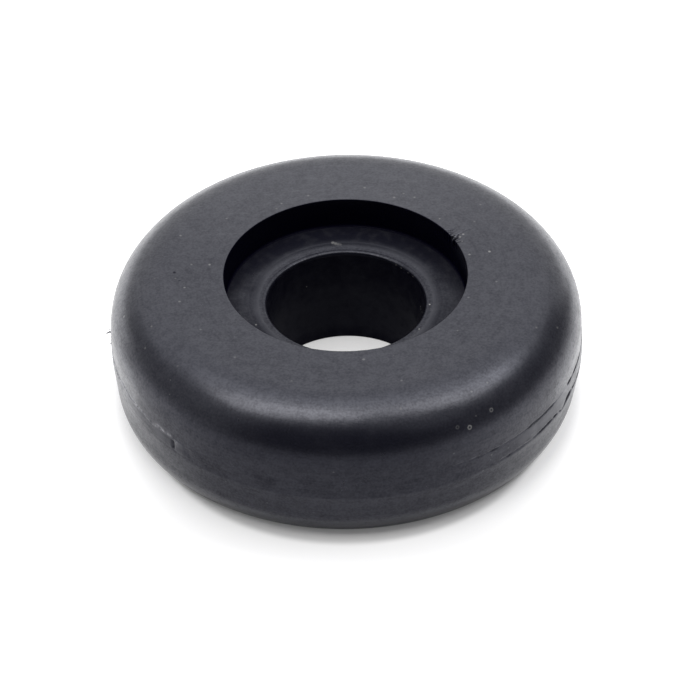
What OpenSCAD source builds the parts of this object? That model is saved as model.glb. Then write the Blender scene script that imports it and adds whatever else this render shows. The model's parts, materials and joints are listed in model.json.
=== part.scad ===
// Moulded rubber bushing for a sway bar end link: a squat ring with a wide rounded shoulder,
// a counterbored seat in its top face and a plain bore through the middle. Its side carries
// the land where the mould's flash was trimmed off, and draws in below that to the base.
// It lies on its base, with the origin at the base's centre and +Z up the bore.

/* [Body] */
// Outside diameter of the straight side
outer_d = 38; // [30:0.5:50]
// Height from the base to the top face
body_h = 11.7; // [9:0.1:18]
// Radius of the shoulder between the top face and the side
shoulder_r = 4.6; // [1:0.1:5]
// Angle by which the side draws in below the flash land, in degrees
base_taper = 7.4; // [0:0.2:16]
// Radius of the edge around the base
base_edge_r = 1.9; // [0.3:0.1:2.5]

/* [Flash land] */
// Height of the land's upper edge, where the mould halves met
seam_z = 5.85; // [4:0.05:7]
// Height of the land
land_h = 1.4; // [0.4:0.1:3]
// How far the land stands out from the side
land_proud = 0.1; // [0.05:0.01:0.4]

/* [Bore] */
// Diameter of the bore
bore_d = 12.8; // [8:0.1:16]
// Radius of the lip where the bore meets the floor of the seat
lip_r = 0.4; // [0.1:0.05:1]

/* [Seat] */
// Diameter of the counterbore
seat_d = 19.5; // [17:0.1:24]
// Depth of the counterbore below the top face
seat_depth = 2.8; // [1:0.1:5]
// Radius of the corner between the seat's floor and its wall
seat_corner_r = 0.3; // [0.1:0.05:1]

/* [Hidden] */
$fn = 128;

outer_r = outer_d / 2;
bore_r = bore_d / 2;
seat_r = seat_d / 2;
floor_z = body_h - seat_depth;      // the seat's floor
land_z = seam_z - land_h;           // lower edge of the land, where the taper starts
base_r = outer_r - land_z * tan(base_taper);
land_root_r = (seat_r + outer_r) / 2;

// Directions along the sides that meet at a corner of the section
inward = [-1, 0];
outward = [1, 0];
up = [0, 1];
down = [0, -1];
up_taper = [sin(base_taper), cos(base_taper)];

// The area between a corner and the arc that rounds it, tangent to both sides.
// side_a and side_b are unit vectors along the two sides, pointing away from the corner.
module corner_area(corner, side_a, side_b, r) {
    half_angle = acos(side_a * side_b) / 2;
    tangent_length = r / tan(half_angle);
    bisector = (side_a + side_b) / norm(side_a + side_b);
    centre = corner + bisector * r / sin(half_angle);
    difference() {
        polygon([corner, corner + side_a * tangent_length, centre, corner + side_b * tangent_length]);
        translate(centre) circle(r = r);
    }
}

// Half section of the plain ring with square corners, as (radius, height)
module ring_section() {
    polygon([
        [bore_r, 0],
        [base_r, 0],
        [outer_r, land_z],
        [outer_r, body_h],
        [bore_r, body_h]
    ]);
}

// Half section of the counterbore, with its lower corner filled
module seat_section() {
    difference() {
        translate([0, floor_z]) square([seat_r, seat_depth]);
        corner_area([seat_r, floor_z], inward, up, seat_corner_r);
    }
}

// Half section of the flash land, with both edges sloping off at 45 degrees
module land_section() {
    polygon([
        [land_root_r, land_z],
        [outer_r, land_z],
        [outer_r + land_proud, land_z + land_proud],
        [outer_r + land_proud, seam_z - land_proud],
        [outer_r, seam_z],
        [land_root_r, seam_z]
    ]);
}

// The whole half section, with its outer corners rounded
module section() {
    difference() {
        ring_section();
        seat_section();
        corner_area([outer_r, body_h], inward, down, shoulder_r);
        corner_area([base_r, 0], inward, up_taper, base_edge_r);
        corner_area([bore_r, floor_z], outward, down, lip_r);
    }
    land_section();
}

module bushing() {
    color("#242529") rotate_extrude() section();
}

bushing();
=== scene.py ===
import json
import math

import bpy
import numpy as np
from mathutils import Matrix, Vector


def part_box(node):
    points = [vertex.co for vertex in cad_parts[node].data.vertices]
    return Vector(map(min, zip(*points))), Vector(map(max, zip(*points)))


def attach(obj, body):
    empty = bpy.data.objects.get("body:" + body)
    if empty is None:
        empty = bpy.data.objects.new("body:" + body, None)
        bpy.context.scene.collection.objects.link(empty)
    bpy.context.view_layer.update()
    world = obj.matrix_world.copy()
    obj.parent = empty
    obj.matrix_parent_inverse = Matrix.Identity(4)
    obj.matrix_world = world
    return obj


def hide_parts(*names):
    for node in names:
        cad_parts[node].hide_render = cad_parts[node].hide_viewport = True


mm = 0.001

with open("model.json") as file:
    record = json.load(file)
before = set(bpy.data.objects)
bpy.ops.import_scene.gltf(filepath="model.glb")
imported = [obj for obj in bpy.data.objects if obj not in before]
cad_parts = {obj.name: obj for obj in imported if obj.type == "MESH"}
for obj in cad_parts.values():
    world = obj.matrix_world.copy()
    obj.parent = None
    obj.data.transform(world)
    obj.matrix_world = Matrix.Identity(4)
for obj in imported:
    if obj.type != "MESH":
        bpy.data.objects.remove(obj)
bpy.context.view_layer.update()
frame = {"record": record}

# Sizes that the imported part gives, in metres
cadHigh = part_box("bushing")[1]
mounts = {mount["name"]: mount for mount in frame["record"]["mounts"]}
topZ = cadHigh.z
landR = cadHigh.x
boreR = mounts["bore"]["dims"]["r_mm"] * mm
seatR = mounts["seat"]["dims"]["r_mm"] * mm
seatZ = mounts["seat_floor"]["pos_m"][2]


# Number and mesh helpers

def smoothStep(x, low, high):
    # 0 below low, 1 above high and an S curve between them
    t = np.clip((x - low) / (high - low), 0, 1)
    return t * t * (3 - 2 * t)


def window(x, start, stop, soft):
    # 1 between start and stop, with an S curve of width 2 * soft at either end
    return smoothStep(x, start - soft, start + soft) * (1 - smoothStep(x, stop - soft, stop + soft))


def bell(x, centre, width):
    # bell curve of height 1
    return np.exp(-((x - centre) / width) ** 2)


def ripple(draw, angle, low, high, count):
    # sum of count waves, each a whole number of cycles round the ring so that it closes,
    # between low and high and weaker the shorter they are, scaled to about -1 to 1
    cycles = np.rint(np.exp(draw.uniform(math.log(low), math.log(high), (count, 1, 1))))
    phase = draw.uniform(0, 2 * np.pi, (count, 1, 1))
    weight = cycles ** -0.4
    return (weight * np.cos(cycles * angle + phase)).sum(0) / math.sqrt((weight ** 2).sum())


def stretch(start, stop, count, guard):
    # points from start to stop without the last, with one close to each end so that
    # smooth shading stays inside the guard distance
    start, stop = np.array(start, float), np.array(stop, float)
    span = np.linalg.norm(stop - start)
    share = np.r_[0, np.linspace(guard / span, 1 - guard / span, count)]
    return start + share[:, None] * (stop - start)


def arc(centre, radius, fromDeg, toDeg, count):
    # points of a circular arc without the last, angles from the +r axis towards +z
    turn = np.radians(np.linspace(fromDeg, toDeg, count, endpoint=False))
    return np.array(centre) + radius * np.stack([np.cos(turn), np.sin(turn)], -1)


def gridMesh(name, points, wrapRows=False, wrapCols=False, capEnds=False):
    # mesh of quads over a grid of points, row by row, closed on itself or capped where asked
    rows, cols = points.shape[:2]
    row = np.arange(rows if wrapRows else rows - 1)[:, None]
    col = np.arange(cols if wrapCols else cols - 1)[None, :]
    nextRow, nextCol = (row + 1) % rows, (col + 1) % cols
    quads = [row * cols + col, nextRow * cols + col, nextRow * cols + nextCol, row * cols + nextCol]
    faces = np.stack(np.broadcast_arrays(*quads), -1).reshape(-1, 4).tolist()
    if capEnds:
        faces += [list(range(cols)), list(range(rows * cols - 1, (rows - 1) * cols - 1, -1))]
    mesh = bpy.data.meshes.new(name)
    mesh.from_pydata(points.reshape(-1, 3), [], faces, shade_flat=False)
    piece = bpy.data.objects.new(name, mesh)
    bpy.context.scene.collection.objects.link(piece)
    return piece


# Shader maths

class Wire:
    # one output socket, so that sums on it add Math nodes

    def __init__(self, tree, socket):
        self.tree = tree
        self.socket = socket

    def add(self, kind, settings=None, links=None, out=0):
        # adds a node of this kind, sets it up, joins its inputs and gives back one output
        node = self.tree.nodes.new(kind)
        for key, value in (settings or {}).items():
            setattr(node, key, value)
        for key, value in (links or {}).items():
            if isinstance(value, Wire):
                self.tree.links.new(value.socket, node.inputs[key])
            else:
                node.inputs[key].default_value = value
        return Wire(self.tree, node.outputs[out] if node.outputs else None)

    def math(self, operation, a, b):
        return self.add("ShaderNodeMath", {"operation": operation}, {0: a, 1: b})

    def __add__(self, other):
        return self.math("ADD", self, other)

    def __radd__(self, other):
        return self.math("ADD", other, self)

    def __sub__(self, other):
        return self.math("SUBTRACT", self, other)

    def __rsub__(self, other):
        return self.math("SUBTRACT", other, self)

    def __mul__(self, other):
        return self.math("MULTIPLY", self, other)

    def __rmul__(self, other):
        return self.math("MULTIPLY", other, self)

    def __truediv__(self, other):
        return self.math("DIVIDE", self, other)

    def __pow__(self, other):
        return self.math("POWER", self, other)

    def larger(self, other):
        return self.math("MAXIMUM", self, other)

    def step(self, low, high):
        # S curve from 0 at low to 1 at high
        return self.add("ShaderNodeMapRange", {"interpolation_type": "SMOOTHSTEP"},
                        {"Value": self, "From Min": low, "From Max": high})

    def within(self, rise, fall):
        # up from 0 to 1 over the first pair of values and down again over the second
        return self.step(*rise) * (1 - self.step(*fall))

    def mix(self, first, second):
        # colour first where this is 0 and second where it is 1
        links = {"Factor": self, 6: first, 7: second}
        return self.add("ShaderNodeMix", {"data_type": "RGBA"}, links, out=2)

    def parts(self):
        # x, y and z of a vector
        node = self.add("ShaderNodeSeparateXYZ", links={0: self}).socket.node
        return [Wire(self.tree, socket) for socket in node.outputs]

    def gap(self, point):
        # distance of a place from a point
        return self.add("ShaderNodeVectorMath", {"operation": "DISTANCE"}, {0: self, 1: point}, out="Value")

    def stretched(self, factors):
        # vector times one factor for each axis
        return self.add("ShaderNodeVectorMath", {"operation": "MULTIPLY"}, {0: self, 1: factors})

    def noise(self, scale, detail):
        return self.add("ShaderNodeTexNoise", links={"Vector": self, "Scale": scale, "Detail": detail})


def startMaterial(name):
    # empty material, and a wire for its Object coordinates in millimetres
    material = bpy.data.materials.new(name)
    material.use_nodes = True
    material.node_tree.nodes.clear()
    place = Wire(material.node_tree, None).add("ShaderNodeTexCoord", out="Object")
    place = place.add("ShaderNodeVectorMath", {"operation": "SCALE"}, {0: place, "Scale": 1 / mm})
    return material, place


def principled(wire, links):
    return wire.add("ShaderNodeBsdfPrincipled", links=links)


def endMaterial(surface):
    # joins the surface to its material's output
    surface.add("ShaderNodeOutputMaterial", links={"Surface": surface})


# Camera, at the photograph's angle

cameraView = {
    "elevation": 39.865,   # degrees above the floor
    "distance": 338.6 * mm,
    "lens": 216.0,         # on the 36 mm sensor
    "roll": -0.0155,       # radians
    "offRight": 0.000546,  # where the base's centre appears, as a slope from the picture's middle
    "offDown": 0.00982,
}


def makeCamera(view):
    lift = math.radians(view["elevation"])
    back = np.array([0, -math.cos(lift), math.sin(lift)])
    right = np.array([1.0, 0, 0])
    up = np.cross(back, right)
    c, s = math.cos(view["roll"]), math.sin(view["roll"])
    right, up = c * right + s * up, c * up - s * right
    place = back * view["distance"]
    back = back + view["offRight"] * right - view["offDown"] * up
    back /= np.linalg.norm(back)
    right = right - (right @ back) * back
    right /= np.linalg.norm(right)
    up = np.cross(back, right)
    data = bpy.data.cameras.new("camera")
    data.lens = view["lens"]
    data.clip_start = view["distance"] * 0.05
    camera = bpy.data.objects.new("camera", data)
    bpy.context.scene.collection.objects.link(camera)
    matrix = np.eye(4)
    matrix[:3, :4] = np.stack([right, up, back, place], -1)
    camera.matrix_world = [list(row) for row in matrix.T]
    bpy.context.scene.camera = camera


makeCamera(cameraView)
bpy.context.scene.view_settings.view_transform = "Standard"
print("camera placed")


# Studio: pale floor, soft boxes overhead, a panel behind, and a screen and a card round the front.
# The floor glows as painted light, held back into a painted shadow round the base, and the card shows
# only in reflections, as painted reflections

studio = {
    "floorSize": 3.0,
    "floorDrop": 0.01 * mm,
    "floorColour": (0.635, 0.64, 0.66, 1),
    # painted light: white glow on the floor for camera, reflection and transmission rays
    "floorLift": (0.225, 1.0),  # share of white added to the seen floor, in front and behind
    "floorGlow": 1.2,           # and how bright that white is
    # where the white comes in: millimetres at which it starts and is full, and its share. Held back round
    # the base, the glow leaves a painted shadow there; underFoot adds a painted pool of light under the
    # foot and on the floor seen down the bore
    "shadeCentre": (0.06, -3.18, 0),    # middle of the shadow round the base
    "shadeEdge": (15.7, 16.5),
    "shadeFade": (20.7, 24.5, 0.48),
    "behind": ((17.5, 22), (-20, 3)),   # from the middle, and towards the back
    "underFoot": ((17.8, 18.6, 0.096), (8, 12, 0.121)),     # more of it inside these distances
    "skyLevel": 0.42,
    "boxHeight": 0.70,
    "boxes": {                  # centre across and back, size across and back, watts
        "softbox_left": (-0.27, -0.147, 0.66, 0.294, 2.95),
        "softbox_right": (0.42, -0.11, 0.58, 0.24, 1.78),
        "softbox_side": (0.62, 0.11, 0.40, 0.24, 1.3),
        "softbox_rear": (0.06, 0.14, 1.2, 0.28, 1.75),
        "softbox_far": (-0.09, 0.72, 1.95, 0.86, 4.7),
        "softbox_wing": (-0.74, 0.17, 0.36, 0.32, 0.16),
    },
    "warm": {"softbox_left": (1.0, 0.98, 0.94), "softbox_right": (1.0, 0.98, 0.94)},
    "panel": (1.25, 0.42, 2.8, 0.64, 3.2),  # behind: distance, height, width, depth, watts
    # card seen only in reflections: its greys, near to far and front to side, are painted reflections in
    # the rubber's side
    "cardReach": (-112, 135),   # degrees from the front
    "cardHeight": 0.1 * mm,
    "cardInner": 19.4,          # radius of its inner edge in front, in millimetres
    "cardSteps": (              # how that edge draws back: from and to degrees, millimetres
        (30, 60, 1.6), (70, 100, 19), (105, 125, 25),
    ),
    "cardColours": (            # in front: near, middle and far
        (0.60, 0.60, 0.64, 1), (0.42, 0.42, 0.45, 1), (0.22, 0.22, 0.235, 1),
    ),
    "cardSides": (              # beside: near, far on the left and far on the right
        (0.97, 0.97, 1.0, 1), (0.60, 0.60, 0.63, 1), (0.28, 0.28, 0.30, 1),
    ),
    "cardFades": (              # millimetres: near to middle, middle to far, and beside
        (19, 28), (35, 120), (40, 110),
    ),
    "screenRadius": 0.62,
    "screenReach": (-120, 132),     # degrees from the front
    "screenLift": (29, 54),     # top edge's elevation at the sides and at its peak
    "screenPeak": -0.12,        # azimuth in radians
    "screenDip": (0.36, 0.70, 0.27),    # depth in metres, azimuth and half width in radians
    "screenColours": (          # left, front and right
        (0.46, 0.46, 0.46, 1), (0.05, 0.05, 0.05, 1), (0.22, 0.22, 0.22, 1),
    ),
    "screenFades": ((-575, -390), (300, 560)),  # millimetres across, from one to the next
}


def makeFloor(spec):
    half = spec["floorSize"] / 2
    x, y = np.meshgrid([-half, half], [-half, half], indexing="ij")
    floor = gridMesh("floor", np.stack([x, y, np.full_like(x, -spec["floorDrop"])], -1))
    material, place = startMaterial("pale_floor")
    camera, glossy, through = (place.add("ShaderNodeLightPath", out=f"Is {kind} Ray")
                               for kind in ("Camera", "Glossy", "Transmission"))
    # painted light: the floor glows for camera, reflection and transmission rays. The glow is held back
    # round the base into a painted shadow and raised under the foot into a painted pool of light
    away, shade = place.gap((0, 0, 0)), place.gap(spec["shadeCentre"])
    start, full, share = spec["shadeFade"]
    front = shade.step(*spec["shadeEdge"]) + away.step(start, full) * share
    reach, back = spec["behind"]
    behind = place.parts()[1].step(*back) * away.step(*reach)
    under = sum((1 - away.step(start, full)) * share for start, full, share in spec["underFoot"])
    low, high = spec["floorLift"]
    lift = (camera + glossy + through) * (front * low + behind * (high - low))
    lift = lift + (camera + glossy * 0.5) * under
    endMaterial(principled(place, {
        "Base Color": spec["floorColour"], "Roughness": 0.9, "Specular IOR Level": 0.1,
        "Emission Color": lift.mix((0, 0, 0, 1), (1, 1, 1, 1)), "Emission Strength": spec["floorGlow"]}))
    floor.data.materials.append(material)
    return floor


def makeScreen(spec):
    # upright screen round the front: azimuth along it, height up it. Its top edge falls from
    # the peak as a squared cosine, which the clip ends at its lowest point, and dips on the right
    azimuth = np.radians(np.linspace(*spec["screenReach"], 49))[None, :]
    low, high = (spec["screenRadius"] * math.tan(math.radians(d)) for d in spec["screenLift"])
    top = low + (high - low) * np.cos(np.clip(azimuth - spec["screenPeak"], -1.9, 1.9) * 0.82) ** 2
    depth, middle, halfWidth = spec["screenDip"]
    height = np.linspace(0, 1, 9)[:, None] * (top - depth * bell(azimuth, middle, halfWidth))
    x = spec["screenRadius"] * np.sin(azimuth) + 0 * height
    y = -spec["screenRadius"] * np.cos(azimuth) + 0 * height
    screen = gridMesh("dark_screen", np.stack([x, y, height], -1))
    material, place = startMaterial("dark_cloth")
    across = place.parts()[0]
    left, front, right = spec["screenColours"]
    toFront, toRight = spec["screenFades"]
    colour = across.step(*toRight).mix(across.step(*toFront).mix(left, front), right)
    endMaterial(principled(place, {"Base Color": colour, "Roughness": 1.0, "Specular IOR Level": 0.0}))
    screen.data.materials.append(material)
    return screen


def makeCard(spec):
    # card on the floor, seen only in reflections, casting no shadow and lighting nothing: its greys are
    # painted reflections in the rubber's side. Azimuth along it, radius out to the screen
    azimuth = np.linspace(*spec["cardReach"], 62)[None, :]
    inner = spec["cardInner"]
    for start, stop, step in spec["cardSteps"]:
        inner = inner + step * smoothStep(np.abs(azimuth), start, stop)
    radius = inner * mm + np.linspace(0, 1, 9)[:, None] * (spec["screenRadius"] - inner * mm)
    x, y = radius * np.sin(np.radians(azimuth)), -radius * np.cos(np.radians(azimuth))
    card = gridMesh("dark_card", np.stack([x, y, np.full_like(x, spec["cardHeight"])], -1))
    material, place = startMaterial("grey_card")
    away = place.gap((0, 0, 0))
    across, back = place.parts()[:2]
    right = across / away
    ahead = back / away * -1.0 - right.larger(0.0) * 0.3
    near, middle, far = spec["cardColours"]
    beside, farLeft, farRight = spec["cardSides"]
    toMiddle, toFar, toSides = spec["cardFades"]
    front = away.step(*toFar).mix(away.step(*toMiddle).mix(near, middle), far)
    side = away.step(*toSides).mix(beside, right.step(-0.5, 0.8).mix(farLeft, farRight))
    colour = ahead.step(0.0, 0.88).mix(side, front)
    endMaterial(principled(place, {"Base Color": colour, "Roughness": 1.0, "Specular IOR Level": 0.0}))
    card.data.materials.append(material)
    card.visible_diffuse = False
    card.visible_shadow = False
    return card


def makeLamp(name, place, turn, size, watts, colour=(1, 1, 1)):
    lamp = bpy.data.lights.new(name, "AREA")
    lamp.shape = "RECTANGLE"
    lamp.size, lamp.size_y = size
    lamp.energy = watts
    lamp.color = colour
    box = bpy.data.objects.new(name, lamp)
    box.location = place
    box.rotation_euler = (math.radians(turn), 0, 0)
    bpy.context.scene.collection.objects.link(box)


def makeStudio(spec):
    floor, screen, card = makeFloor(spec), makeScreen(spec), makeCard(spec)
    for stand in (screen, card):
        stand.visible_camera = False

    distance, height, width, depth, watts = spec["panel"]
    makeLamp("panel_back", (0, distance, height), -90, (width, depth), watts)
    for name, (x, y, sizeX, sizeY, watts) in spec["boxes"].items():
        colour = spec["warm"].get(name, (1, 1, 1))
        makeLamp(name, (x, y, spec["boxHeight"]), 0, (sizeX, sizeY), watts, colour)

    world = bpy.data.worlds.new("white_tent")
    world.use_nodes = True
    sky = world.node_tree.nodes["Background"]
    sky.inputs["Color"].default_value = (1, 1, 1, 1)
    sky.inputs["Strength"].default_value = spec["skyLevel"]
    bpy.context.scene.world = world


makeStudio(studio)
print("studio set up")


# Rubber body: the section carried round the bore, with the flash land worked into its side

rubberBody = {
    "landProud": 0.1 * mm,
    "shoulderR": 4.6 * mm,
    "landLow": 4.45 * mm,  # where the side starts to draw in
    "taper": math.radians(7.4),
    "bend": 0.11 * mm,     # how softly it starts
    "foot": (1.5 * mm, 2.9 * mm),  # half axes of the rounded foot, inward and upward
    "lean": [(1.0, -0.06), (4.5, 0.05), (6.2, 0.0)],  # height and shift to the right, in millimetres
    "lip": 0.24 * mm,
    "seatCorner": 0.2 * mm,
    "dish": (0.10 * mm, 0.155 * mm),    # rise of the seat's floor, and its drop at the lip
    "dishReach": (2.3 * mm, 2.0 * mm),  # out from the bore where the drop starts, and its length
    "turnedLines": [       # in that floor: out from the bore, depth and half width in millimetres
        (0.37, 0.016, 0.05), (1.15, 0.008, 0.06),
    ],
    "edge": 0.08 * mm,     # sharp moulded edges
    "guard": 0.12 * mm,    # how far shading may run in from an edge
    "seamHigh": 5.9 * mm,  # upper and lower lines of the trimmed flash
    "seamLow": 4.6 * mm,
    "zone": (3.2 * mm, 6.8 * mm),  # closely divided part of the side
    "tear": (116.8, 1.7),  # torn place in the seat's rim: azimuth and half width in degrees
    "tearDepth": (0.2 * mm, 0.16 * mm),  # outward and down
    "tearReach": 0.3 * mm,
    "cracks": [            # azimuth, drift per mm and width in degrees, length and depth in mm
        (116.4, 1.4, 0.80, 0.62, 0.22), (117.0, 1.2, 0.34, 1.60, 0.14),
        (124.3, -5.4, 0.40, 0.85, 0.11), (119.6, 0.8, 0.40, 0.65, 0.10),
        (121.4, -1.0, 0.36, 0.45, 0.08), (114.7, -1.5, 0.40, 0.60, 0.08),
        (113.0, -2.0, 0.34, 0.90, 0.06),
    ],
    # rows of points, in millimetres
    "seamRows": (0.03, 0.065, 0.10, 0.14, 0.19, 0.26, 0.36),    # above and below each line
    "sideRows": (6.65, 6.48, 5.4, 5.25, 5.1, 4.0, 3.75, 3.45),  # heights of the others there
    "topRows": (0, 0.07, 0.16, 0.28, 0.44, 0.64, 0.88, 1.15, 1.7, 2.6, 3.6, 4.42),  # from the rim
    "floorRows": (0.29, 0.33, 0.37, 0.41, 0.47, 0.75, 1.08, 1.15, 1.22, 1.6, 2.4),  # from the bore
    "angles": 780,
    "closer": [            # where these are closer: from and to degrees, softness, how much more
        (-97, -38, 3, 1.3), (24, 82, 3, 0.9), (112, 125, 1, 2.5),
    ],
    "seed": 11,
}
outerR = landR - rubberBody["landProud"]
tiny = 0.001 * mm


def sideRadius(spec, height):
    # straight side that draws in below the land, with a soft bend between the two
    soft = spec["bend"]
    return outerR - soft * np.logaddexp(0, (spec["landLow"] - height) / soft) * math.tan(spec["taper"])


def bushingSection(spec):
    # closed loop of (radius, height): top face, shoulder, side, base, bore, seat
    guard, edge, shoulder = spec["guard"], spec["edge"], spec["shoulderR"]
    lip, corner = spec["lip"], spec["seatCorner"]
    zoneLow, zoneHigh = spec["zone"]
    # quarter ellipse of the foot, from where its slope is the side's taper to the floor
    footIn, footUp = spec["foot"]
    first = math.atan(footUp / footIn * math.tan(spec["taper"]))
    footZ = footUp * (1 - math.sin(first))
    footR = sideRadius(spec, footZ) - footIn * math.cos(first)
    turn = np.linspace(first, math.pi / 2, 10, endpoint=False)
    foot = np.stack([footR + footIn * np.cos(turn), footUp * (1 - np.sin(turn))], -1)
    close = np.array(spec["seamRows"]) * mm
    close = np.concatenate([-close[::-1], [0], close])
    seam = np.concatenate([spec["seamHigh"] + close, spec["seamLow"] + close,
                           np.array(spec["sideRows"]) * mm])
    seam = np.sort(seam)[::-1]
    topOut = np.array(spec["topRows"]) * mm
    floorOut = np.array(spec["floorRows"]) * mm
    parts = [
        np.stack([seatR + edge + topOut, np.full(len(topOut), topZ)], -1),
        arc((outerR - shoulder, topZ - shoulder), shoulder, 90, 0, 18),
        stretch((outerR, topZ - shoulder), (outerR, zoneHigh), 1, guard),
        [(outerR, zoneHigh)],
        np.stack([sideRadius(spec, seam), seam], -1),
        stretch((sideRadius(spec, zoneLow), zoneLow), foot[0], 2, guard),
        foot,
        stretch((footR, 0), (boreR + edge, 0), 3, guard),
        arc((boreR + edge, edge), edge, -90, -180, 3),
        stretch((boreR, edge), (boreR, seatZ - lip), 4, guard),
        arc((boreR + lip, seatZ - lip), lip, 180, 90, 6),
        np.stack([boreR + floorOut, np.full(len(floorOut), seatZ)], -1),
        arc((seatR - corner, seatZ + corner), corner, -90, 0, 5),
        stretch((seatR, seatZ + corner), (seatR, topZ - edge), 4, guard),
        arc((seatR + edge, topZ - edge), edge, 180, 90, 3),
    ]
    return np.concatenate(parts)


def ringAngles(spec):
    # angles from the front, spread by a density that is higher where the seam or rim is torn
    fine = np.linspace(-180, 180, 3601)
    density = np.ones_like(fine)
    for start, stop, soft, more in spec["closer"]:
        density += more * window(fine, start, stop, soft)
    share = np.cumsum(density) - density[0]
    return np.radians(np.interp(np.arange(spec["angles"]) / spec["angles"], share / share[-1], fine))


# Wear of the seam

seamWear = {
    # azimuths in degrees from the front, other sizes in millimetres, and a stretch as its
    # start, stop and softness
    "wander": (0.035, 0.07, 0.04),      # of the upper line, its torn stretch and the lower line
    "tornLine": (-98, -46.5, 1),
    "lowerLift": (-80, -44, 4, 0.12),   # stretch and height
    "lowerDip": (63.6, 2.4, 0.33),      # azimuth, half width and depth
    "torn": (-125, -46.7, 0.5),
    "tornFade": (-116, -93),
    # painted highlight: the torn lip made paler still on this stretch, where its ledge would catch light
    "tornBright": (-99, -57, 4, 0.26),  # stretch and how much paler
    "nibs": (-97, -72, 2, 0.08),        # stretch and height
    "flap": (-45.9, -42.9, 0.5),
    "fold": (-45.4, 0.7),               # azimuth and half width
    "notches": [           # azimuth, half width, height where it starts and is full, depth
        (-46.4, 0.36, 0.05, 0.25, 0.14), (-41.2, 0.8, 0.15, 0.4, 0.042),
    ],
    # stretch on the right where the land stands out a little and is painted paler between the lines, as a
    # painted sheen
    "pale": (46, 66, 4),
    "scarred": (-104, 92, 6),           # outside this, fine cuts go on round the rear
    "trimmed": (-94, 85, 8),            # outside this, the land still stands out
    "proud": (0.004, 0.035, 0.035, 0.012, 0.06),    # all round, torn, flap, pale, behind
    "cutDepth": 0.11,
    "upperCuts": [(26, 47, 4, 0.34), (47.5, 59, 2, 0.8), (67, 88, 0.8, 1.0)],   # and their share
    "lowerCuts": [(38.5, 48, 2, 0.5), (50.5, 65, 3, 0.95), (71, 84, 0.6, 0.9)],
    "rearCuts": (0.3, 0.2),
    "dent": (67.8, 2.1, 0.26),          # azimuth, half width and depth
}


def seamLines(wear, draw, degrees, angle):
    # how far the upper and lower lines of the flash wander from their heights: ripples, with
    # more of them where the upper line is torn, and a lift and a dip of the lower one
    highWander, tornWander, lowWander = (size * mm for size in wear["wander"])
    upper = highWander * ripple(draw, angle, 2, 40, 12)[0]
    torn = window(degrees, *wear["tornLine"])
    upper = upper + tornWander * torn * ripple(draw, angle, 30, 420, 40)[0]
    place, width, depth = wear["lowerDip"]
    lower = lowWander * ripple(draw, angle, 2, 60, 14)[0] - depth * mm * bell(degrees, place, width)
    *span, lift = wear["lowerLift"]
    return upper, lower + lift * mm * window(degrees, *span)


def seamRelief(wear, draw, degrees, angle, overUpper, overLower):
    # radial offset of the side by the height over each line: a low plateau between them,
    # a fine cut along each line where the photo shows one, and a ragged lip where flash tore off;
    # also how pale the torn rubber is, with a painted highlight along the torn lip and a painted sheen
    # between the lines on the right
    tornLeft = window(degrees, *wear["torn"]) * smoothStep(degrees, *wear["tornFade"])
    flap = window(degrees, *wear["flap"])
    pale = window(degrees, *wear["pale"])
    rear = 1 - window(degrees, *wear["scarred"])
    landBack = 1 - window(degrees, *wear["trimmed"])
    ragged = ripple(draw, angle, 60, 700, 60)[0]
    patchy = ripple(draw, angle, 20, 90, 20)[0]
    allRound, atTorn, atFlap, atPale, atBack = wear["proud"]
    proud = allRound + atTorn * tornLeft * (1 + 0.1 * patchy) + atFlap * flap + atPale * pale
    proud = (proud + atBack * landBack) * mm
    plateau = smoothStep(overLower, -0.25 * mm, 0.25 * mm)
    plateau = plateau * (1 - smoothStep(overUpper, -0.06 * mm, 0.05 * mm))
    relief = proud * plateau
    # low bead along the crease where the side starts to draw in
    relief += 0.016 * mm * bell(overLower, -0.25 * mm, 0.22 * mm) * (1 + 0.3 * patchy)

    # cuts along both lines, and a dent in the lower one
    upperRear, lowerRear = wear["rearCuts"]
    upperCut = sum(deep * window(degrees, *span) for *span, deep in wear["upperCuts"]) + upperRear * rear
    lowerCut = sum(deep * window(degrees, *span) for *span, deep in wear["lowerCuts"]) + lowerRear * rear
    depth = wear["cutDepth"] * mm
    relief -= depth * upperCut * (1 + 0.45 * patchy) * bell(overUpper, 0.03 * mm, 0.1 * mm)
    relief -= depth * lowerCut * (1 + 0.4 * ragged) * bell(overLower, 0, 0.1 * mm)
    place, width, depth = wear["dent"]
    relief -= depth * mm * bell(degrees, place, width) * bell(overLower, 0.05 * mm, 0.19 * mm)

    # ragged lip with nibs, and notches beside the flap
    lip = tornLeft * (0.6 + 0.4 * ragged + 0.3 * patchy)
    relief += 0.008 * mm * lip * bell(overUpper, -0.07 * mm, 0.12 * mm)
    *span, tall = wear["nibs"]
    nibs = np.clip(ripple(draw, angle, 150, 900, 40)[0] - 0.5, 0, 2) * window(degrees, *span)
    relief += tall * mm * nibs * bell(overUpper, -0.04 * mm, 0.07 * mm)
    belowUpper = 1 - smoothStep(overUpper, -0.4 * mm, -0.1 * mm)
    for place, width, start, full, depth in wear["notches"]:
        notch = bell(degrees, place, width) * smoothStep(overLower, start * mm, full * mm)
        relief -= depth * mm * notch * belowUpper

    # pale torn rubber, with a painted highlight along its torn lip and a painted sheen between the lines on
    # the right
    edge = bell(overUpper, 0.02 * mm + 0.06 * mm * patchy, 0.16 * mm)
    *span, paler = wear["tornBright"]
    bright = 0.44 + 0.2 * ragged + 0.14 * patchy + paler * window(degrees, *span)
    torn = tornLeft * (plateau * (0.05 + 0.04 * patchy) + bright * edge)
    fold = bell(degrees, *wear["fold"]) * smoothStep(overLower, 0.3 * mm, 0.9 * mm)
    torn += flap * plateau * (0.08 + 0.4 * fold)
    torn += (0.14 + 0.08 * patchy) * pale * plateau
    return relief, np.clip(torn, 0, 1)


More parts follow.
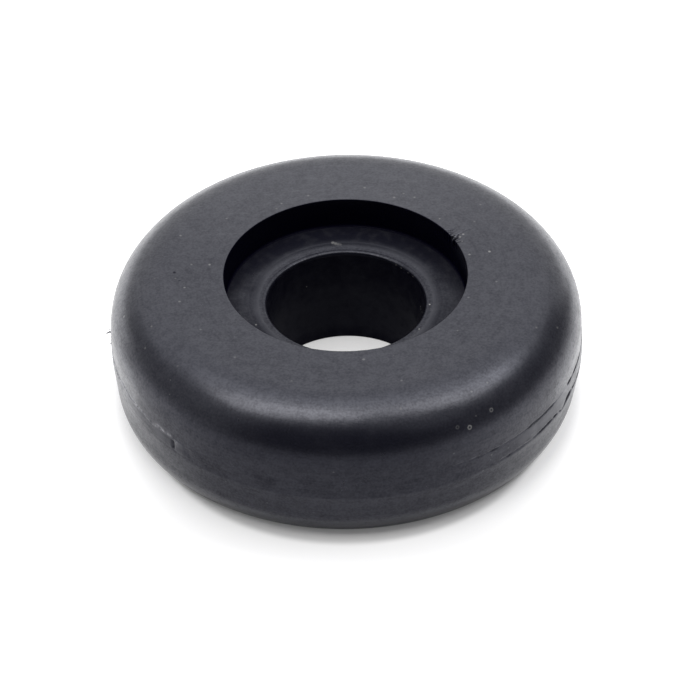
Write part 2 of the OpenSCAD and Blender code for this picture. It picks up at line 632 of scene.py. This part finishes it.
def dishFloor(spec, radius, height):
    # heights with the seat's floor turned and dished: a groove of bell section for each turned
    # line, and a drop towards the lip that grows as the 1.5th power of the way there
    floor = (np.abs(height - seatZ) < tiny) & (radius < seatR - 0.4 * mm)
    for out, depth, width in spec["turnedLines"]:
        height = height - floor * depth * mm * bell(radius, boreR + out * mm, width * mm)
    seat = (height > seatZ - spec["lip"] - tiny) & (height < seatZ + spec["seatCorner"] + tiny)
    start, length = spec["dishReach"]
    sink = np.clip((boreR + start - radius) / length, 0, 1)
    rise, drop = spec["dish"]
    return height + seat * (radius < seatR + tiny) * (rise - drop * sink ** 1.5)


def tearRim(spec, draw, degrees, angle, radius, height):
    # radius and height with the torn place pushed outward and down near the rim, and with the
    # cracks as bell grooves that drift while they run out and fade; also where the cracks are
    middle, halfWidth = spec["tear"]
    reach = np.hypot(radius - seatR, height - topZ)
    tear = bell(degrees, middle, halfWidth) * bell(reach, 0, spec["tearReach"])
    tear = tear * (1 + 0.6 * ripple(draw, angle, 120, 320, 20)[0])
    outward, down = spec["tearDepth"]
    radius = radius + outward * tear
    height = height - down * tear
    out = radius - seatR
    upTop = height > topZ - 0.4 * mm
    cut = 0 * height
    for place, slope, width, length, depth in spec["cracks"]:
        drift = place + slope * out / mm + 0.4 * np.sin(out / (0.2 * mm) + place)
        groove = bell(degrees, drift, width) * (1 - smoothStep(out, 0.25 * length * mm, length * mm))
        groove = groove * upTop * smoothStep(out, -0.1 * mm, 0.02 * mm)
        height = height - depth * mm * groove
        cut = np.maximum(cut, groove)
    return radius, height, cut


def makeBody(spec):
    # point = (radius sin angle, -radius cos angle, height), radius and height along the section
    draw = np.random.default_rng(spec["seed"])
    section = bushingSection(spec)
    angle = ringAngles(spec)[None, :]
    degrees = np.degrees(angle)
    radius = section[:, :1] + 0 * angle
    height = section[:, 1:] + 0 * angle
    zoneLow, zoneHigh = spec["zone"]
    side = (radius > seatR + 3 * mm) & (height >= zoneLow) & (height <= zoneHigh)

    # rows of the side follow the wandering lines
    high, low = spec["seamHigh"], spec["seamLow"]
    upper, lower = seamLines(seamWear, draw, degrees, angle)
    nearUpper = window(height, high - 0.55 * mm, high + 0.55 * mm, 0.35 * mm)
    nearLower = smoothStep(height, zoneLow, low - 0.25 * mm)
    nearLower = nearLower * (1 - smoothStep(height, low + 0.25 * mm, low + 1.0 * mm))
    height = height + side * (nearUpper * upper + nearLower * lower)
    radius = np.where(side, sideRadius(spec, height), radius)
    relief, torn = seamRelief(seamWear, draw, degrees, angle, height - high - upper, height - low - lower)
    radius = radius + relief * side
    height = dishFloor(spec, radius, height)
    radius, height, cut = tearRim(spec, draw, degrees, angle, radius, height)

    # the halves of the mould met a little out of line
    lean = np.interp(height, *(np.array(spec["lean"]).T * mm))
    x = radius * np.sin(angle) + lean * smoothStep(radius, 13 * mm, 16 * mm)
    points = np.stack([x, -radius * np.cos(angle), height], -1)
    body = gridMesh("rubber_body", points, wrapRows=True, wrapCols=True)
    # marks for the material: pale torn rubber, which also carries painted highlight and sheen along the
    # seam, and the cracks, which the material paints in shade
    for name, values in (("torn", torn * side), ("cut", cut)):
        mark = body.data.attributes.new(name, "FLOAT", "POINT")
        mark.data.foreach_set("value", values.astype(np.float32).ravel())
    return body


# Loose hairs of flash on the left of the side, and crumbs at the torn rim

hairs = {    # points as azimuth in degrees, radius and height; these and thick in millimetres
    "flash_hair_long": {
        "points": [(-90.0, 18.95, 5.95), (-90.3, 19.15, 5.98), (-90.2, 19.33, 5.90), (-89.6, 19.48, 5.86)],
        "thick": 0.075,
    },
    "flash_hair_short": {
        "points": [(-90.6, 18.95, 6.0), (-90.9, 19.18, 6.06), (-91.2, 19.33, 6.16)],
        "thick": 0.035,
    },
    "rim_crumb": {
        "points": [(118.1, 9.85, 11.69), (118.3, 10.05, 11.71), (117.9, 10.2, 11.70)],
        "thick": 0.03,
    },
    "rim_flap": {
        "points": [(116.6, 9.86, 11.6), (116.2, 9.66, 11.52), (115.5, 9.6, 11.36)],
        "thick": 0.075,
    },
}


def makeHair(name, spec):
    # tube along a path through (azimuth, radius, height), thinning towards its free end
    knots = np.array(spec["points"], float)
    share = np.linspace(0, len(knots) - 1, 13)
    azimuth, radius, height = (np.interp(share, np.arange(len(knots)), column) for column in knots.T)
    azimuth = np.radians(azimuth)
    path = np.stack([radius * np.sin(azimuth), -radius * np.cos(azimuth), height], -1) * mm
    along = np.gradient(path, axis=0)
    along /= np.linalg.norm(along, axis=1)[:, None]
    across = np.cross(along, [0.3, 0.2, 1.0])
    across /= np.linalg.norm(across, axis=1)[:, None]
    over = np.cross(along, across)
    turn = -np.linspace(0, 2 * np.pi, 7, endpoint=False)[None, :, None]
    thick = (spec["thick"] * mm * (1 - 0.75 * (share / share[-1]) ** 2))[:, None, None]
    ring = path[:, None] + thick * (np.cos(turn) * across[:, None] + np.sin(turn) * over[:, None])
    return gridMesh(name, ring, wrapCols=True, capEnds=True)


# Rubber: black and satin, with dust, scuffs, stains and patches that are worn matte; painted shade on the
# seat's wall, down the bore and in the cracks, a painted sheen towards the back of the top face, and
# painted highlight and sheen along the torn seam

dust = {
    "topSpecks": [      # on the top face: x, y and size in millimetres, then strength
        (11.61, 2.55, 0.16, 0.55), (-10.90, 1.42, 0.14, 0.40), (9.99, 2.20, 0.14, 0.40),
        (1.30, -10.84, 0.17, 0.28), (-12.85, -1.49, 0.14, 0.32), (-13.21, -3.27, 0.14, 0.32),
        (-13.31, 5.28, 0.14, 0.28), (4.21, -13.49, 0.14, 0.20), (12.03, -1.35, 0.14, 0.24),
        (4.08, 9.93, 0.15, 0.30), (-8.73, -10.34, 0.15, 0.19), (1.67, 11.32, 0.15, 0.28),
        (5.74, 9.90, 0.13, 0.32), (7.72, 6.98, 0.10, 0.45), (9.73, -3.33, 0.14, 0.20),
        (-2.95, 10.36, 0.14, 0.26), (-5.55, 8.67, 0.13, 0.26), (-9.61, 7.44, 0.13, 0.26),
        (-5.14, 9.34, 0.13, 0.24), (-12.35, 1.46, 0.13, 0.25), (4.85, 10.43, 0.13, 0.24),
        (9.58, 4.87, 0.13, 0.50), (-4.31, -13.34, 0.14, 0.13), (8.73, -7.46, 0.13, 0.20),
        (-11.48, -6.84, 0.13, 0.20), (10.54, 6.53, 0.13, 0.20), (11.10, 8.79, 0.13, 0.20),
        (-13.59, -0.32, 0.13, 0.18), (9.30, 4.55, 0.14, 0.45), (9.20, 4.07, 0.12, 0.30),
        (9.45, 3.95, 0.12, 0.28),
    ],
    "otherSpecks": [    # x, y, z and size in millimetres, then strength
        (-0.58, 7.38, 8.91, 0.20, 0.22), (-7.21, -2.95, 8.93, 0.12, 0.50),
        (5.80, -3.71, 8.86, 0.10, 0.60), (6.72, -0.57, 8.85, 0.10, 0.95),
        (-0.99, 7.58, 8.92, 0.21, 0.34), (-0.78, 7.46, 8.92, 0.21, 0.34),
        (-0.38, 7.34, 8.91, 0.18, 0.16), (4.10, -16.14, 11.11, 0.15, 0.19),
        (-13.23, -10.43, 11.0, 0.13, 0.12), (-17.71, -2.96, 10.02, 0.16, 0.45),
        (-15.39, -5.76, 11.22, 0.13, 0.25), (-15.89, -7.50, 10.45, 0.13, 0.28),
        (16.70, -5.67, 10.37, 0.13, 0.25), (14.97, -6.67, 11.25, 0.13, 0.22),
        (9.62, -14.00, 10.9, 0.13, 0.18), (10.89, -12.98, 10.93, 0.13, 0.20),
        (-1.16, -18.96, 7.14, 0.13, 0.20), (8.18, -17.14, 7.31, 0.13, 0.18),
        (10.48, -15.83, 4.37, 0.14, 0.22), (14.45, -12.34, 5.01, 0.13, 0.25),
        (12.53, -14.28, 5.36, 0.13, 0.22), (11.17, -15.37, 5.58, 0.13, 0.26),
        (13.94, -12.88, 4.35, 0.12, 0.18), (8.41, -16.87, 3.7, 0.13, 0.10),
        (-9.61, -16.31, 4.06, 0.13, 0.16), (6.05, 2.10, 6.5, 0.09, 0.90),
        (6.08, 2.00, 6.3, 0.09, 0.95), (6.15, 1.75, 6.2, 0.08, 0.80),
        (4.11, 4.90, 8.62, 0.09, 0.50), (4.53, 4.53, 8.58, 0.09, 0.60),
        (5.08, 3.90, 8.58, 0.09, 0.50), (5.47, 3.32, 8.62, 0.09, 0.50),
        (-3.20, 5.54, 6.0, 0.08, 0.60),
    ],
    "rings": [          # drops that dried
        (9.42, -16.01, 8.98, 0.21, 0.50), (11.15, -14.55, 9.47, 0.19, 0.32),
        (8.47, -16.37, 9.31, 0.17, 0.16),
    ],
    "topPits": [(-13.69, 0.46, 0.20, 0.9), (-13.27, -0.59, 0.15, 0.5)],
}

rubberLook = {
    "dark": (0.0030, 0.0031, 0.0074, 1),
    # pale of worn and torn rubber and dust, and also of the painted sheen and highlights
    "worn": (0.41, 0.415, 0.44, 1),
    "dust": (0.34, 0.34, 0.33, 1),
    # black of the painted shade, a surface that gives back no light
    "unlit": (0.0006, 0.0004, 0.0045, 1),
    "tint": (0.85, 0.87, 1.0, 1),   # of the reflections
    "satinIor": 1.67,
    "satinRoughness": 0.25,
    "matteIor": 1.18,
    "matteRoughness": 0.7,
    "bump": (0.2, 0.02 * mm),       # strength and distance
    "noises": {"mottle": (0.45, 4.0), "grain": (5.5, 3.0), "cloud": (1.3, 2.0)},    # scale, detail
    "fineDust": 0.22,
    "film": {              # how much pale dust, and a painted sheen that pales the top face and its scuffs towards the back
        "grain": 0.006, "mottle": 0.008, "scuff": 0.012, "scuffBack": 0.03, "back": 0.055, "seat": 0.014,
    },
    "matteShare": {"all": 0.16, "bore": 0.9, "seat": 0.75, "stain": 0.12},
}


def dustMarks(place, spec):
    # the strongest mark of each kind at a place: round specks and pits, and rings of dried drops
    topSpecks, topPits = ([(x, y, topZ / mm, size, strength) for x, y, size, strength in spec[kind]]
                          for kind in ("topSpecks", "topPits"))
    groups = {"specks": topSpecks + spec["otherSpecks"], "rings": spec["rings"], "pits": topPits}
    marks = {}
    for kind, spots in groups.items():
        for x, y, z, size, strength in spots:
            gap = place.gap((x, y, z))
            spot = 1 - gap.step(size * 0.3, size)
            if kind == "rings":
                spot = gap.within((size * 0.25, size * 0.7), (size * 0.75, size * 1.1))
            spot = spot * (strength * 0.8)
            marks[kind] = spot.larger(marks.get(kind, 0.0))
    return marks


def fineDust(place):
    # small specks at the middles of some cells
    cells = {"Vector": place, "Scale": 0.8}
    near = place.add("ShaderNodeTexVoronoi", links=cells, out="Distance")
    pick = place.add("ShaderNodeTexVoronoi", links=cells, out="Color")
    pick = pick.add("ShaderNodeSeparateColor", links={0: pick})
    return (1 - near.step(0.02, 0.06)) * pick.step(0.62, 0.9)


def rubberMaterial(spec):
    material, place = startMaterial("black_rubber")
    x, y, z = place.parts()
    radius = (x * x + y * y) ** 0.5
    top, floor, bore, seat, outer = (size / mm for size in (topZ, seatZ, boreR, seatR, outerR))
    low, high = rubberBody["seamLow"] / mm, rubberBody["seamHigh"] / mm

    # noises, rings from turning the mould, and the marks that the mesh carries
    rings = place.add("ShaderNodeCombineXYZ", links={"X": radius * 5.0, "Y": z * 5.0})
    rings = place.add("ShaderNodeTexNoise", {"noise_dimensions": "2D"},
                      {"Vector": rings, "Scale": 1.0, "Detail": 4.0, "Roughness": 0.7})
    mottle, grain, cloud = (place.noise(*spec["noises"][name]) for name in ("mottle", "grain", "cloud"))
    streak = place.stretched((0.55, 0.55, 2.6)).noise(1.0, 4.0)
    scuff = place.stretched((0.45, 4.0, 1.0)).noise(1.0, 3.0)
    # torn rubber is pale, and its mark also carries painted highlight and sheen along the seam; cut marks
    # the cracks, painted in shade below
    torn, cut = (place.add("ShaderNodeAttribute", {"attribute_name": name}, out="Fac")
                 for name in ("torn", "cut"))
    torn = torn * (0.35 + grain.step(0.3, 0.7) * 0.9)
    marks = dustMarks(place, dust)
    speck = marks["specks"].larger(marks["rings"]).larger(fineDust(place) * spec["fineDust"])

    # colour: film of dust and fine scuffs on the top face, paler towards the back as a painted sheen, and
    # haze on the seat's floor
    amount = spec["film"]
    scuff = scuff.step(0.56, 0.76) * z.step(top - 0.3, top - 0.1)
    film = grain.step(0.45, 0.75) * amount["grain"] + mottle.step(0.5, 0.8) * amount["mottle"]
    # painted sheen: the film and scuffs grow paler towards the back of the top face
    film = film + scuff * (amount["scuff"] + y.step(0, 14) * amount["scuffBack"])
    film = film + y.step(0, 15) * z.step(top - 2.2, top - 0.2) * amount["back"]
    onFloor = radius.within((bore + 0.2, bore + 0.6), (seat - 0.35, seat - 0.15))
    onFloor = onFloor * z.within((floor - 0.3, floor - 0.1), (floor + 0.2, floor + 0.4))
    film = film + onFloor * cloud.step(0.45, 0.7) * amount["seat"]
    colour = (torn * 0.9 + film).mix(spec["dark"], spec["worn"])
    colour = speck.mix(colour, spec["dust"])

    # satin and matte surfaces, and a black one that gives back no light, for painted shade
    atBase = (1 - z.step(1.2, 2.3)) * radius.step(12, 16)
    roughness = spec["satinRoughness"] + mottle * 0.08 + torn * 0.25 + speck * 0.3 - atBase * 0.15
    strength, distance = spec["bump"]
    links = {"Strength": strength, "Distance": distance, "Height": grain * 0.6 + rings * 0.6}
    normal = place.add("ShaderNodeBump", links=links)
    common = {"Base Color": colour, "Normal": normal, "Specular Tint": spec["tint"]}
    satin = principled(place, {**common, "Roughness": roughness, "IOR": spec["satinIor"]})
    matte = principled(place, {**common, "Roughness": spec["matteRoughness"], "IOR": spec["matteIor"]})
    deep = principled(place, {"Base Color": spec["unlit"], "Roughness": 1.0, "Specular IOR Level": 0.0})

    # share of the matte surface: patchy all over, more on the seat's floor, most in the bore
    amount = spec["matteShare"]
    inBore = (1 - radius.step(bore + 0.02, bore + 0.1)) * (1 - z.step(floor - 0.4, floor - 0.18))
    inSeat = (radius - y.step(2, 6) * 0.45).step(bore + 0.1, bore + 1.4)
    inSeat = inSeat * (1 - radius.step(seat + 0.01, seat + 0.09)) * (1 - z.step(floor + 0.15, floor + 0.3))
    uneven = (mottle - 0.5) * 0.7 + (rings - 0.5) * 0.25 + (grain - 0.5) * 0.5
    hidden = inBore * (amount["bore"] + mottle * 0.12)
    hidden = hidden.larger(inSeat * (amount["seat"] - x.step(4, 9) * 0.05 + uneven))
    patchy = amount["all"] + (grain - 0.5) * 1.05 + (streak - 0.5) * (0.4 - z.step(8, 11) * 0.2)
    patchy = patchy + (cloud - 0.5) * 0.45 + (rings - 0.5) * 0.3
    stain = mottle.step(0.4, 0.65) * z.within((low - 0.3, low + 0.2), (high - 0.2, high + 0.4))
    stain = stain * radius.step(outer - 2, outer - 1)
    stained = (1 + x.within((-14, -12), (-6, -3))) * amount["stain"]
    patchy = patchy + stain * stained - atBase * 0.2 + (1 - radius.step(bore + 0.4, bore + 0.8)) * 0.3
    share = (patchy + marks["pits"]).larger(hidden)
    share = share.math("MINIMUM", share, 1.0)

    # share of the black surface of painted shade: on the seat's wall, less at its upper right, in patches
    # down the bore that are denser high up and near the bottom, and in the cracks
    onWall = radius.within((seat - 0.23, seat - 0.11), (seat + 0.03, seat + 0.07))
    onWall = onWall * z.step(floor - 0.4, floor - 0.3)
    unlit = onWall * (0.9 - x.step(8.2, 9.3) * z.step(9.8, 11.5) * 0.45)
    boreShade = (cloud - 0.5) * 0.9 + z.step(3.5, 7.5) * 0.4 + (1 - z.step(0.3, 1.6)) * 0.35
    unlit = unlit + inBore * boreShade + cut * 0.9
    surface = place.add("ShaderNodeMixShader", links={0: share, 1: satin, 2: matte})
    surface = place.add("ShaderNodeMixShader", links={0: unlit, 1: surface, 2: deep})
    endMaterial(surface)
    return material


rubber = rubberMaterial(rubberLook)
print("rubber material made,", len(rubber.node_tree.nodes), "nodes")
body = makeBody(rubberBody)
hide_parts("bushing")
strands = [makeHair(name, spec) for name, spec in hairs.items()]
for piece in [body, *strands]:
    piece.data.materials.append(rubber)
    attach(piece, "root")
print("rubber body made,", len(body.data.polygons), "faces, and", len(strands), "loose strands")
